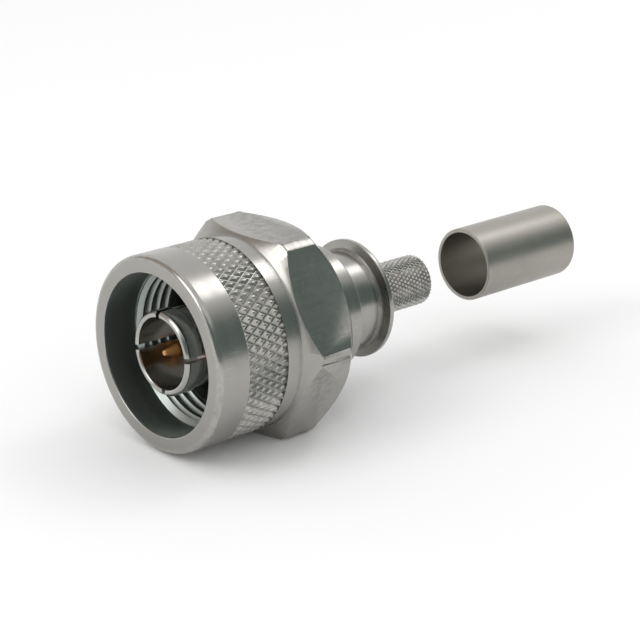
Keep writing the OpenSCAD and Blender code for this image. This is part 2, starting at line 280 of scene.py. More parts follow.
GROUPS = {
    "plug_nut": NutSizes,
    "plug_body": BodySizes,
    "plug_contacts": ContactSizes,
    "plug_ferrule": FerruleSizes,
    "plug_finishes": Finishes,
    "plug_studio": StudioSettings,
}


class InMillimetres:
    """Reads a property group with its lengths in millimetres."""

    def __init__(self, group):
        self.group = group

    def __getattr__(self, name):
        value = getattr(self.group, name)
        unit = self.group.bl_rna.properties[name].unit
        return value * MM if unit == "LENGTH" else value


# --- Modelling -----------------------------------------------------------------------------------


def everything(bm):
    return bm.verts[:] + bm.edges[:] + bm.faces[:]


def draw_section(corners, closed=True, support=0.12):
    """Draws a section as a wire of (distance along the axis, radius, rounding) corners. Rounded
    corners get an arc, and a point close to each end of a long side keeps the lightened convex edges (rubbing
    plus painted highlight) and the darkened concave ones (soiling plus painted shade) near the corners."""
    bm = bmesh.new()
    verts = [bm.verts.new((x, 0, radius)) for x, radius, _ in corners]
    for first, second in zip(verts, verts[1:] + verts[:1] if closed else verts[1:]):
        bm.edges.new((first, second))
    for rounding in sorted({corner[2] for corner in corners} - {0}):
        rounded = [v for v, corner in zip(verts, corners) if corner[2] == rounding and v.is_valid]
        bmesh.ops.bevel(
            bm, geom=rounded, offset=rounding, offset_type="OFFSET", segments=4, profile=0.5,
            affect="VERTICES", material=-1, clamp_overlap=False,
        )
    for edge in [e for e in bm.edges if e.calc_length() > 4 * support]:
        span = edge.calc_length()
        near, far = edge.verts
        half, point = bmesh.utils.edge_split(edge, near, support / span)
        other = next(e for e in point.link_edges if far in e.verts)
        bmesh.utils.edge_split(other, far, support / (span - support))
    return bm


def turn(bm, steps=TURN_STEPS):
    """Spins a section once round the axis and closes its poles."""
    bmesh.ops.spin(
        bm, geom=everything(bm), cent=(0, 0, 0), axis=(1, 0, 0), dvec=(0, 0, 0),
        angle=2 * math.pi, steps=steps, use_merge=True, use_duplicate=False,
    )
    bmesh.ops.remove_doubles(bm, verts=bm.verts, dist=WELD)
    return bm


def turned(corners, closed=True, steps=TURN_STEPS):
    return turn(draw_section(corners, closed), steps)


def cut_between(bm, start, end):
    """Keeps what lies between two planes across the axis."""
    for place_x, direction in ((start, -1), (end, 1)):
        bmesh.ops.bisect_plane(
            bm, geom=everything(bm), dist=WELD, plane_co=(place_x, 0, 0),
            plane_no=(direction, 0, 0), clear_outer=True,
        )


def diamond_skin(crest_od, depth, teeth, half_pitch, first_row, start, end):
    """A knurl: one diamond and its staggered neighbour, inset into blunt pyramids, repeated along
    the axis and then spun round it, and cut off square at both ends."""
    bm = bmesh.new()
    half_column = math.pi / teeth
    floor_radius = crest_od / 2 - depth
    rows = math.ceil((end - start) / (2 * half_pitch)) + 2
    row_zero = first_row - 2 * half_pitch
    for stagger in (0, 1):
        corners = []
        for along, across in ((-1, 0), (0, -1), (1, 0), (0, 1)):
            swing = Matrix.Rotation((stagger + across) * half_column, 3, "X")
            reach = row_zero + (stagger + along) * half_pitch
            corners.append(bm.verts.new(swing @ Vector((reach, 0, floor_radius))))
        bm.faces.new(corners)
    half_width = floor_radius * half_column
    inradius = half_width * half_pitch / math.hypot(half_width, half_pitch)
    slopes = bm.faces[:]
    for flank in slopes:
        if flank.normal.z < 0 or flank.calc_center_median().dot(flank.normal) < 0:
            flank.normal_flip()
    bm.normal_update()
    for flank in slopes:
        if flank.normal.z < 0:
            flank.normal_flip()
    bmesh.ops.inset_individual(
        bm, faces=slopes, thickness=0.7 * inradius, depth=depth + 0.006, use_even_offset=True
    )
    crest_edges = list({edge for face in slopes for edge in face.edges})
    bmesh.ops.bevel(
        bm, geom=crest_edges, offset=0.22 * inradius, offset_type="OFFSET", segments=3,
        profile=0.5, affect="EDGES", material=-1, clamp_overlap=True,
    )
    bmesh.ops.spin(
        bm, geom=everything(bm), cent=(0, 0, 0), axis=(1, 0, 0), dvec=(2 * half_pitch, 0, 0),
        angle=0, steps=rows, use_duplicate=True,
    )
    bmesh.ops.spin(
        bm, geom=everything(bm), cent=(0, 0, 0), axis=(1, 0, 0), dvec=(0, 0, 0),
        angle=2 * math.pi * (teeth - 1) / teeth, steps=teeth - 1, use_duplicate=True,
    )
    bmesh.ops.remove_doubles(bm, verts=bm.verts, dist=WELD * 10)
    valleys = [
        e for e in bm.edges
        if e.is_manifold and all(v.co.yz.length < floor_radius + WELD * 10 for v in e.verts)
    ]
    bmesh.ops.bevel(
        bm, geom=valleys, offset=0.1 * inradius, offset_type="OFFSET", segments=1,
        profile=0.5, affect="EDGES", material=-1, clamp_overlap=True,
    )
    cut_between(bm, start, end)
    return bm


def thread_skin(crest_od, root_od, pitch, start, end, lead_in):
    """An internal right-hand thread: one pitch of its section, spun along a helix and cut off
    square, with its first crest relieved by the lead-in chamfer."""
    crest, root = crest_od / 2, root_od / 2
    flank = (root - crest) * math.tan(math.radians(30))
    root_flat = pitch / 8
    half_crest = (pitch - root_flat - 2 * flank) / 2
    origin = start - 1.23 * pitch
    turns = math.ceil((end - origin) / pitch) + 1
    steps = 128
    soft = 0.045
    bm = draw_section(
        [
            (origin, crest, 0),
            (origin + half_crest, crest, soft),
            (origin + half_crest + flank, root, soft),
            (origin + half_crest + flank + root_flat, root, soft),
            (origin + half_crest + 2 * flank + root_flat, crest, soft),
            (origin + pitch, crest, 0),
        ],
        closed=False,
        support=0.5,
    )
    bmesh.ops.spin(
        bm, geom=everything(bm), cent=(0, 0, 0), axis=(1, 0, 0), dvec=(pitch / steps, 0, 0),
        angle=2 * math.pi * turns, steps=steps * turns, use_merge=False, use_duplicate=False,
    )
    bmesh.ops.remove_doubles(bm, verts=bm.verts, dist=WELD * 5)
    cut_between(bm, start, end)
    bmesh.ops.bisect_plane(
        bm, geom=everything(bm), dist=WELD, plane_co=(start + lead_in, 0, 0), plane_no=(1, 0, 0)
    )
    for v in bm.verts:
        relieved = crest + lead_in - (v.co.x - start)
        radius = math.hypot(v.co.y, v.co.z)
        if radius < relieved:
            v.co.yz = v.co.yz * (relieved / radius)
    return bm


def joined(skins):
    """Puts several skins into one."""
    whole = bmesh.new()
    for skin in skins:
        carrier = bpy.data.meshes.new("carrier")
        skin.to_mesh(carrier)
        skin.free()
        whole.from_mesh(carrier)
        bpy.data.meshes.remove(carrier)
    return whole


def close_across(bm, place_x):
    """Fills the ring between the two open rims that lie in one plane across the axis."""
    rims = [
        e for e in bm.edges if e.is_boundary and all(abs(v.co.x - place_x) < 10 * WELD for v in e.verts)
    ]
    bmesh.ops.triangle_fill(bm, edges=rims, normal=(1, 0, 0), use_beauty=True)


def cut_hexagon(bm, flats, edge_round):
    """Cuts six flats parallel to the axis, the first facing up, and softens their edges."""
    faces = []
    for turn_number in range(6):
        facing = Matrix.Rotation(turn_number * math.pi / 3, 3, "X") @ Vector((0, 0, 1))
        bmesh.ops.bisect_plane(
            bm, geom=everything(bm), dist=WELD, plane_co=facing * flats / 2, plane_no=facing,
            clear_outer=True,
        )
        rim = [
            e for e in bm.edges
            if e.is_boundary and all(abs(v.co.dot(facing) - flats / 2) < 10 * WELD for v in e.verts)
        ]
        faces += bmesh.ops.contextual_create(bm, geom=rim)["faces"]
    for face in faces:
        face.material_index = 2
    rims = list({edge for face in faces for edge in face.edges})
    bmesh.ops.bevel(
        bm, geom=rims, offset=edge_round, offset_type="OFFSET", segments=2, profile=0.5,
        affect="EDGES", material=-1, clamp_overlap=False,
    )


def box_at(low, high, swing):
    """A cutter: a box between two corners, turned about the axis."""
    bm = bmesh.new()
    middle = (Vector(low) + Vector(high)) / 2
    size = Vector(high) - Vector(low)
    bmesh.ops.create_cube(
        bm, size=1,
        matrix=Matrix.Rotation(swing, 4, "X") @ Matrix.Translation(middle) @ Matrix.Diagonal((*size, 1)),
    )
    return bm


def mesh_object(name, bm):
    """Turns a mesh in millimetres into an object."""
    mesh = bpy.data.meshes.new(name)
    bm.to_mesh(mesh)
    bm.free()
    made = bpy.data.objects.new(name, mesh)
    bpy.context.scene.collection.objects.link(made)
    return made


def cut_away(bm, cutter):
    """Takes one closed solid from another."""
    bmesh.ops.recalc_face_normals(bm, faces=bm.faces)
    bmesh.ops.recalc_face_normals(cutter, faces=cutter.faces)
    solid, tool = mesh_object("solid", bm), mesh_object("tool", cutter)
    difference = solid.modifiers.new("cut", "BOOLEAN")
    difference.operation, difference.solver, difference.object = "DIFFERENCE", "EXACT", tool
    evaluated = solid.evaluated_get(bpy.context.evaluated_depsgraph_get())
    result = bmesh.new()
    result.from_mesh(evaluated.to_mesh())
    evaluated.to_mesh_clear()
    for used in (solid, tool):
        mesh = used.data
        bpy.data.objects.remove(used)
        bpy.data.meshes.remove(mesh)
    return result


def mark_edges(bm):
    """Stores how sharp the edges round each point are: convex ones are lightened by rubbing and a painted
    highlight, concave ones darkened by soiling and painted shade.
    """
    wear = bm.verts.layers.float.new("wear")
    grime = bm.verts.layers.float.new("grime")
    for v in bm.verts:
        angles = [e.calc_face_angle_signed(0) for e in v.link_edges if e.is_manifold]
        v[wear] = min(max([0, *angles]) / MASK_ANGLE, 1)
        v[grime] = min(max([0, *(-a for a in angles)]) / MASK_ANGLE, 1)


def finish_piece(name, bm, body, node, materials):
    """Closes a piece's mesh, shades it, scales it to metres and sets it in the frame."""
    bmesh.ops.remove_doubles(bm, verts=bm.verts, dist=WELD)
    bmesh.ops.recalc_face_normals(bm, faces=bm.faces)
    bm.normal_update()
    mark_edges(bm)
    for edge in bm.edges:
        edge.smooth = edge.calc_face_angle(0) < SMOOTH_LIMIT
    for face in bm.faces:
        face.smooth = True
    bmesh.ops.scale(bm, vec=(1 / MM,) * 3, verts=bm.verts)
    piece = mesh_object(name, bm)
    for material in materials:
        piece.data.materials.append(material)
    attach(piece, body)
    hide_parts(node)
    return piece


# --- Finishes ------------------------------------------------------------------------------------


class Graph:
    """Adds nodes to a material, a world or a node group."""

    def __init__(self, tree):
        self.tree = tree

    def node(self, kind, inputs=None, **settings):
        made = self.tree.nodes.new(kind)
        for name, value in settings.items():
            setattr(made, name, value)
        for name, value in (inputs or {}).items():
            if isinstance(value, bpy.types.NodeSocket):
                self.tree.links.new(value, made.inputs[name])
            else:
                made.inputs[name].default_value = value
        return made

    def math(self, operation, first, second=0.0, clamp=False):
        return self.node(
            "ShaderNodeMath", {0: first, 1: second}, operation=operation, use_clamp=clamp
        ).outputs[0]

    def remap(self, value, low, high, to_low=0.0, to_high=1.0):
        """A smooth step from one range to another."""
        return self.node(
            "ShaderNodeMapRange",
            {"Value": value, "From Min": low, "From Max": high, "To Min": to_low, "To Max": to_high},
            interpolation_type="SMOOTHSTEP",
        ).outputs["Result"]

    def mix(self, factor, first, second):
        return self.node(
            "ShaderNodeMix", {0: factor, 6: first, 7: second}, data_type="RGBA"
        ).outputs[2]

    def noise(self, vector, scale, detail=2.0, roughness=0.5):
        return self.node(
            "ShaderNodeTexNoise",
            {"Vector": vector, "Scale": scale, "Detail": detail, "Roughness": roughness},
        ).outputs["Fac"]

    def group(self, tree, inputs):
        made = self.node("ShaderNodeGroup")
        made.node_tree = tree
        for name, value in inputs.items():
            if isinstance(value, bpy.types.NodeSocket):
                self.tree.links.new(value, made.inputs[name])
            else:
                made.inputs[name].default_value = value
        return made


def new_group(name, inputs, outputs):
    """Starts a node group with named float sockets: inputs as (name, default), outputs as names."""
    tree = bpy.data.node_groups.new(name, "ShaderNodeTree")
    for socket, default in inputs:
        made = tree.interface.new_socket(name=socket, in_out="INPUT", socket_type="NodeSocketFloat")
        made.default_value = default
    for socket in outputs:
        tree.interface.new_socket(name=socket, in_out="OUTPUT", socket_type="NodeSocketFloat")
    return Graph(tree), tree.nodes.new("NodeGroupInput").outputs, tree.nodes.new("NodeGroupOutput")


def effect(name, build, inputs, outputs):
    """A node group, built the first time that it is asked for."""
    if name not in bpy.data.node_groups:
        graph, given, wanted = new_group(name, inputs, outputs)
        for socket, value in build(graph, given).items():
            graph.tree.links.new(value, wanted.inputs[socket])
    return bpy.data.node_groups[name]


def object_point(graph):
    return graph.node("ShaderNodeTexCoord").outputs["Object"]


def lathe_marks():
    """Fine uneven feed lines: across the axis on turned walls, and in rings on faced ends."""

    def build(graph, given):
        apart = graph.node("ShaderNodeSeparateXYZ", {0: object_point(graph)})
        y, z = apart.outputs["Y"], apart.outputs["Z"]
        radius = graph.math(
            "SQRT", graph.math("ADD", graph.math("MULTIPLY", y, y), graph.math("MULTIPLY", z, z))
        )
        feed = graph.math("MULTIPLY", graph.math("ADD", apart.outputs["X"], radius), given["Lines"])
        drift = graph.math("MULTIPLY", given["Lines"], 0.012)
        along = graph.node(
            "ShaderNodeCombineXYZ",
            {0: feed, 1: graph.math("MULTIPLY", y, drift), 2: graph.math("MULTIPLY", z, drift)},
        ).outputs[0]
        fine = graph.noise(along, 1.0, 2.0, 0.6)
        broad = graph.noise(along, 0.13, 1.0, 0.5)
        return {
            "Height": graph.math("ADD", graph.math("MULTIPLY", fine, 0.6), graph.math("MULTIPLY", broad, 0.4)),
            "Mask": graph.remap(broad, 0.3, 0.7),
        }

    return effect("lathe_marks", build, [("Lines", 9000.0)], ["Height", "Mask"])


def drawn_marks():
    """Faint streaks along the axis, as drawn hexagon stock has."""

    def build(graph, given):
        stretched = graph.node(
            "ShaderNodeMapping",
            {"Vector": object_point(graph), "Scale": (0.035, 1.0, 1.0)},
        ).outputs[0]
        streaks = graph.noise(stretched, given["Lines"], 3.0, 0.65)
        return {"Height": streaks, "Mask": graph.remap(streaks, 0.35, 0.65)}

    return effect("drawn_marks", build, [("Lines", 6500.0)], ["Height", "Mask"])


def handling_marks():
    """Sparse hairline scratches in two directions, and small dings between them."""

    def build(graph, given):
        point = object_point(graph)
        lines = []
        for turn_x, turn_z, seed in ((0.5, 0.9, 0.0), (-0.8, -0.6, 3.7)):
            laid = graph.node(
                "ShaderNodeMapping",
                {
                    "Vector": point,
                    "Location": (seed, seed, 0),
                    "Rotation": (turn_x, 0.3, turn_z),
                    "Scale": (260.0, 5200.0, 5200.0),
                },
            ).outputs[0]
            lines.append(graph.remap(graph.noise(laid, 1.0, 1.0, 0.4), 0.66, 0.74))
        patch = graph.remap(graph.noise(point, 420.0, 1.0), 0.45, 0.62)
        scratch = graph.math("MULTIPLY", graph.math("MAXIMUM", *lines), patch)
        cells = graph.node(
            "ShaderNodeTexVoronoi", {"Vector": point, "Scale": given["Dings"]}, feature="F1"
        ).outputs["Distance"]
        ding = graph.remap(cells, 0.11, 0.03)
        return {"Scratch": scratch, "Ding": graph.math("MULTIPLY", ding, patch)}

    return effect("handling_marks", build, [("Dings", 900.0)], ["Scratch", "Ding"])


def cloudy_film():
    """Soft uneven patches of tarnish, with finer mottling."""

    def build(graph, given):
        point = object_point(graph)
        broad = graph.noise(point, given["Size"], 3.0, 0.55)
        fine = graph.noise(point, graph.math("MULTIPLY", given["Size"], 9.0), 2.0, 0.6)
        return {"Patch": graph.remap(broad, 0.38, 0.68), "Mottle": graph.remap(fine, 0.35, 0.65)}

    return effect("cloudy_film", build, [("Size", 150.0)], ["Patch", "Mottle"])


def edge_state():
    """Edges lightened by rubbing and a painted highlight, and corners darkened by soiling and painted shade,
    broken up so that neither is an even line.
    """

    def build(graph, given):
        point = object_point(graph)
        broken = graph.noise(point, 1400.0, 3.0, 0.6)
        uneven = graph.remap(broken, 0.3, 0.62)
        worn_and_highlit = graph.node("ShaderNodeAttribute", attribute_name="wear").outputs["Fac"]
        grimed_and_shaded = graph.node("ShaderNodeAttribute", attribute_name="grime").outputs["Fac"]
        dirt_and_shade = graph.math("MULTIPLY", graph.remap(grimed_and_shaded, 0.1, 0.95), given["Grime amount"])
        shine = graph.math("MULTIPLY", graph.remap(worn_and_highlit, 0.25, 1.0), given["Wear amount"])
        return {
            "Wear": graph.math("MULTIPLY", shine, uneven, clamp=True),
            "Grime": graph.math("MULTIPLY", dirt_and_shade, graph.remap(broken, 0.75, 0.35, 0.6, 1.0), clamp=True),
        }

    return effect(
        "edge_state", build, [("Wear amount", 0.8), ("Grime amount", 0.8)], ["Wear", "Grime"]
    )


def start_material(name):
    """A material with an empty tree but its shader and output."""
    material = bpy.data.materials.new(name)
    material.use_nodes = True
    graph = Graph(material.node_tree)
    material.node_tree.nodes.clear()
    shader = graph.node("ShaderNodeBsdfPrincipled")
    graph.node("ShaderNodeOutputMaterial", {"Surface": shader.outputs["BSDF"]})
    return material, graph, shader


def rgba(tint):
    return (*tint, 1.0)


def plated_metal(
    name, tint, roughness, marks, mark_lines, mark_depth, wear, grime, film=0.35, grain=0.0
):
    """Plated brass: tool marks under the plate, a cloudy film, hairline scratches, edges lightened by
    rubbing and a painted highlight, and corners darkened by soiling and painted shade. Depths are in metres."""
    finishes = bpy.context.scene.plug_finishes
    material, graph, shader = start_material(name)
    tool = graph.group(marks(), {"Lines": mark_lines})
    handling = graph.group(handling_marks(), {})
    film_marks = graph.group(cloudy_film(), {})
    state = graph.group(edge_state(), {"Wear amount": wear, "Grime amount": grime})

    patch = graph.math("MULTIPLY", film_marks.outputs["Patch"], film)
    tone = graph.math("ADD", patch, graph.math("MULTIPLY", film_marks.outputs["Mottle"], 0.12 * film))
    plate = graph.mix(graph.math("MULTIPLY", tone, 0.5), rgba(tint), rgba(finishes.tarnish))
    # A lighter copy of the plate: on convex edges and knurl crests it is rubbing plus a painted highlight;
    # scratches take it too.
    worn_and_highlight_tint = [min(channel * 1.28 + 0.03, 1) for channel in tint]
    plate = graph.mix(state.outputs["Wear"], plate, rgba(worn_and_highlight_tint))
    plate = graph.mix(
        graph.math("MULTIPLY", handling.outputs["Scratch"], 0.35), plate, rgba(worn_and_highlight_tint)
    )
    # Concave edges go near black: soiling plus painted shade.
    plate = graph.mix(state.outputs["Grime"], plate, rgba(finishes.grime))

    rough = graph.math("ADD", roughness, graph.math("MULTIPLY", tone, 0.16))
    rough = graph.math("ADD", rough, graph.math("MULTIPLY", tool.outputs["Mask"], 0.05))
    rough = graph.math("SUBTRACT", rough, graph.math("MULTIPLY", state.outputs["Wear"], 0.08))
    rough = graph.math("ADD", rough, graph.math("MULTIPLY", state.outputs["Grime"], 0.3), clamp=True)

    height = graph.math("MULTIPLY", tool.outputs["Height"], mark_depth)
    height = graph.math(
        "SUBTRACT", height, graph.math("MULTIPLY", handling.outputs["Scratch"], 1.2e-6)
    )
    height = graph.math("SUBTRACT", height, graph.math("MULTIPLY", handling.outputs["Ding"], 1.6e-6))
    if grain:
        speckle = graph.noise(object_point(graph), 14000.0, 2.0, 0.6)
        height = graph.math("ADD", height, graph.math("MULTIPLY", speckle, grain))
    bump = graph.node("ShaderNodeBump", {"Height": height, "Distance": 1.0, "Strength": 1.0})

    shader.inputs["Metallic"].default_value = 1.0
    links = graph.tree.links
    links.new(plate, shader.inputs["Base Color"])
    links.new(rough, shader.inputs["Roughness"])
    links.new(bump.outputs["Normal"], shader.inputs["Normal"])
    return material


def polymer(name, tint, dark_tint, roughness, grain, subsurface=0.0):
    """A moulded or machined polymer: mottled colour, soiling and painted shade darkening the corners, and a
    fine grain.
    """
    material, graph, shader = start_material(name)
    film_marks = graph.group(cloudy_film(), {"Size": 260.0})
    state = graph.group(edge_state(), {"Wear amount": 0.3, "Grime amount": 0.5})
    marks = graph.group(lathe_marks(), {"Lines": 7000.0})
    # Corners darken through the concave mask, which is soiling plus painted shade, along with random film
    # patches.
    tone = graph.math(
        "ADD",
        graph.math("MULTIPLY", film_marks.outputs["Patch"], 0.5),
        graph.math("MULTIPLY", state.outputs["Grime"], 0.5),
        clamp=True,
    )
    shade = graph.mix(graph.math("MULTIPLY", tone, 0.6), rgba(tint), rgba(dark_tint))
    rough = graph.math("ADD", roughness, graph.math("MULTIPLY", film_marks.outputs["Mottle"], 0.12))
    height = graph.math("MULTIPLY", marks.outputs["Height"], grain)
    speckle = graph.noise(object_point(graph), 9000.0, 3.0, 0.6)
    height = graph.math("ADD", height, graph.math("MULTIPLY", speckle, grain))
    bump = graph.node("ShaderNodeBump", {"Height": height, "Distance": 1.0, "Strength": 1.0})
    if subsurface:
        shader.inputs["Subsurface Weight"].default_value = subsurface
        shader.inputs["Subsurface Scale"].default_value = 0.0006
    links = graph.tree.links
    links.new(shade, shader.inputs["Base Color"])
    links.new(rough, shader.inputs["Roughness"])
    links.new(bump.outputs["Normal"], shader.inputs["Normal"])
    return material


def dress_node(name, material):
    """Gives a solid of the frame its finish."""
    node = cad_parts[name]
    node.data.materials.clear()
    node.data.materials.append(material)


# --- Operators -----------------------------------------------------------------------------------


class CRIMPPLUG_OT_coupling_nut(bpy.types.Operator):
    """Model the coupling nut: bands, knurl, hexagon and thread as one closed skin"""

    bl_idname = "crimp_plug.coupling_nut"
    bl_label = "Coupling nut"

    def execute(self, context):
        s = InMillimetres(context.scene.plug_nut)
        b = InMillimetres(context.scene.plug_body)
        band, mouth = s.band_od / 2, s.mouth_bore / 2
        mouth_floor = s.front + s.mouth_depth
        thread_end = mouth_floor + s.lead_in + s.thread_length
        knurl_start = s.front + s.knurl_start
        knurl_end = knurl_start + s.knurl_length
        hex_start = s.front + s.hex_start
        corner = s.hex_corners / 2
        collar_start = s.rear - s.collar_length
        groove = (b.ring_centre - b.ring_groove_width / 2, b.ring_centre + b.ring_groove_width / 2)

        front_skin = turned(
            [
                (mouth_floor, mouth, 0),
                (s.front, mouth, 0.12),
                (s.front, band, s.front_round),
                (knurl_start, band, 0),
            ],
            closed=False,
        )
        rear_skin = turned(
            [
                (knurl_end, band, 0),
                (hex_start, band, 0.06),
                (hex_start + s.hex_front_bevel, corner, 0.08),
                (s.rear - s.hex_rear_bevel, corner, 0.08),
                (s.rear, corner - s.hex_rear_drop, 0.1),
                (s.rear, s.collar_bore / 2, 0.12),
                (groove[1], s.collar_bore / 2, 0),
                (groove[1], s.ring_groove_bore / 2, 0),
                (groove[0], s.ring_groove_bore / 2, 0),
                (groove[0], s.collar_bore / 2, 0),
                (collar_start, s.collar_bore / 2, 0.1),
                (collar_start, s.chamber_bore / 2, 0.1),
                (thread_end, s.chamber_bore / 2, 0),
            ],
            closed=False,
        )
        cut_hexagon(rear_skin, s.hex_flats, s.hex_edge)
        knurl = diamond_skin(
            s.band_od - 0.04, s.knurl_depth, s.knurl_teeth, s.knurl_half_pitch,
            s.front + s.knurl_row, knurl_start, knurl_end,
        )
        thread = thread_skin(
            s.thread_bore, s.thread_root, s.thread_pitch, mouth_floor, thread_end, s.lead_in
        )
        for face in knurl.faces:
            face.material_index = 1
        whole = joined([front_skin, knurl, rear_skin, thread])
        for place_x in (mouth_floor, knurl_start, knurl_end, thread_end):
            close_across(whole, place_x)
        for face in whole.faces:
            centre = face.calc_center_median()
            if centre.yz.length < mouth + 0.05 and centre.x > s.front + 0.15:
                face.material_index = 3
        finishes = context.scene.plug_finishes
        turned_finish = plated_metal(
            "nut_turned", finishes.nickel, 0.2, lathe_marks, 9000.0, 0.9e-6, wear=0.5, grime=0.4,
            film=0.2,
        )
        knurl_finish = plated_metal(
            "nut_knurl", finishes.nickel, 0.28, lathe_marks, 4000.0, 0.8e-6, wear=0.8, grime=0.2,
            film=0.2, grain=1.2e-6,
        )
        flat_finish = plated_metal(
            "nut_flats", finishes.nickel, 0.2, drawn_marks, 6500.0, 0.4e-6, wear=0.5, grime=0.3,
            film=0.12, grain=0.3e-6,
        )
        # The bore and thread take the lighter, greener nickel: painted light and a painted reflection.
        inside_painted_light_finish = plated_metal(
            "nut_inside", finishes.inside, 0.33, lathe_marks, 6000.0, 1.2e-6, wear=0.5, grime=0.3,
            film=0.2,
        )
        finish_piece(
            "nut_with_thread", whole, "nut", "coupling_nut",
            [turned_finish, knurl_finish, flat_finish, inside_painted_light_finish],
        )
        return {"FINISHED"}


class CRIMPPLUG_OT_connector_body(bpy.types.Operator):
    """Model the body: flanges, barrel, neck and the knurled crimp stem"""

    bl_idname = "crimp_plug.connector_body"
    bl_label = "Connector body"

    def execute(self, context):
        s = InMillimetres(context.scene.plug_body)
        half_groove = s.ring_groove_width / 2
        knurl_end = s.rear - s.stem_chamfer
        skin = turned(
            [
                (s.rim_end, s.stem_od / 2 + 0.4, 0),
                (s.rim_end, s.rim_od / 2, 0.1),
                (s.rim_start, s.rim_od / 2, 0.05),
                (s.neck_end, s.neck_od / 2, s.neck_fillet),
                (s.barrel_end, s.neck_od / 2, s.neck_fillet),
                (s.barrel_end, s.barrel_od / 2, s.edge_round),
                (s.ring_centre + half_groove, s.barrel_od / 2, 0.05),
                (s.ring_centre + half_groove, s.ring_groove_od / 2, 0),
                (s.ring_centre - half_groove, s.ring_groove_od / 2, 0),
                (s.ring_centre - half_groove, s.barrel_od / 2, 0.05),
                (s.flange_end, s.barrel_od / 2, 0),
                (s.flange_end, s.flange_od / 2, s.edge_round),
                (s.flange_start, s.flange_od / 2, s.edge_round),
                (s.flange_start, s.boss_od / 2, 0),
                (s.front, s.boss_od / 2, s.edge_round),
                (s.front, s.contact_seat / 2, 0),
                (CONTACT_REAR, s.contact_seat / 2, 0),
                (CONTACT_REAR, s.insulator_bore / 2, 0),
                (s.insulator_end, s.insulator_bore / 2, 0),
                (s.insulator_end, s.stem_bore / 2, 0),
                (s.rear, s.stem_bore / 2, s.edge_round),
                (s.rear, s.stem_core_od / 2 - s.stem_chamfer, 0.04),
                (knurl_end, s.stem_core_od / 2, 0),
            ],
            closed=False,
        )
        knurl = diamond_skin(
            s.stem_od, s.stem_knurl_depth, s.stem_teeth, s.stem_half_pitch,
            s.rim_end + s.stem_half_pitch, s.rim_end, knurl_end,
        )
        for face in knurl.faces:
            face.material_index = 1
        whole = joined([skin, knurl])
        for place_x in (s.rim_end, knurl_end):
            close_across(whole, place_x)
        finishes = context.scene.plug_finishes
        turned_finish = plated_metal(
            "body_turned", finishes.nickel, 0.19, lathe_marks, 9500.0, 0.8e-6, wear=0.5, grime=0.5,
            film=0.2,
        )
        knurl_finish = plated_metal(
            "stem_knurl", finishes.nickel, 0.26, lathe_marks, 5000.0, 0.6e-6, wear=0.9, grime=0.4,
            film=0.2, grain=1.2e-6,
        )
        finish_piece(
            "body_with_stem", whole, "connector", "connector_body",
            [turned_finish, knurl_finish],
        )
        return {"FINISHED"}


class CRIMPPLUG_OT_outer_contact(bpy.types.Operator):
    """Model the outer contact and slot its front into spring fingers"""

    bl_idname = "crimp_plug.outer_contact"
    bl_label = "Outer contact"

    def execute(self, context):
        s = InMillimetres(context.scene.plug_contacts)
        step = (s.finger_od - s.finger_waist) / 2
        sleeve = turned(
            [
                (0, s.line_bore / 2, 0.2),
                (0, s.finger_od / 2 - s.finger_chamfer, 0.06),
                (s.finger_chamfer, s.finger_od / 2, 0.08),
                (s.finger_land, s.finger_od / 2, 0.05),
                (s.finger_land + step, s.finger_waist / 2, 0),
                (s.seat_start, s.finger_waist / 2, 0),
                (s.seat_start, s.seat_od / 2, 0.08),
                (s.outer_rear, s.seat_od / 2, 0.08),
                (s.outer_rear, s.line_bore / 2, 0.05),
            ]
        )
        past = 1.0
        cutter = joined(
            [
                box_at(
                    (-past, -s.slot_width / 2, 1.2),
                    (s.slot_length, s.slot_width / 2, s.finger_od / 2 + past),
                    s.slot_turn + number * 2 * math.pi / s.slot_count,
                )
                for number in range(s.slot_count)
            ]
        )
        whole = cut_away(sleeve, cutter)
        finish = plated_metal(
            "contact_spring", context.scene.plug_finishes.spring, 0.16, lathe_marks, 11000.0,
            0.6e-6, wear=0.6, grime=0.4, film=0.2,
        )
        finish_piece(
            "spring_fingers", whole, "connector", "outer_contact", [finish]
        )
        return {"FINISHED"}


class CRIMPPLUG_OT_centre_contact(bpy.types.Operator):
    """Model the gold plated centre contact with its pin and drilled solder end"""

    bl_idname = "crimp_plug.centre_contact"
    bl_label = "Centre contact"

    def execute(self, context):
        s = InMillimetres(context.scene.plug_contacts)
        bore_start = s.pin_rear - s.solder_depth
        solid = turned(
            [
                (s.pin_front, 0, 0),
                (s.pin_front, s.pin_tip_od / 2, 0.08),
                (s.pin_front + s.pin_cone, s.pin_od / 2, 0.15),
                (s.shoulder, s.pin_od / 2, 0),
                (s.shoulder, s.contact_od / 2, 0.1),
                (s.bead_rear, s.contact_od / 2, 0.05),
                (s.bead_rear, s.solder_od / 2, 0),
                (s.pin_rear, s.solder_od / 2, 0.06),
                (s.pin_rear, s.solder_bore / 2, 0.06),
                (bore_start, s.solder_bore / 2, 0),
                (bore_start, 0, 0),
            ],
            closed=False,
            steps=96,
        )
        drill = bmesh.new()
        bmesh.ops.create_cone(
            drill, cap_ends=True, segments=48, radius1=s.solder_hole / 2,
            radius2=s.solder_hole / 2, depth=s.solder_od,
            matrix=Matrix.Translation((bore_start + s.solder_hole, 0, s.solder_od / 2)),
        )
        whole = cut_away(solid, drill)
        finish = plated_metal(
            "contact_gold", context.scene.plug_finishes.gold, 0.3, lathe_marks, 12000.0, 0.5e-6,
            wear=0.25, grime=0.4, film=0.12,
        )
        finish_piece(
            "gold_pin", whole, "connector", "centre_contact", [finish]
        )
        return {"FINISHED"}


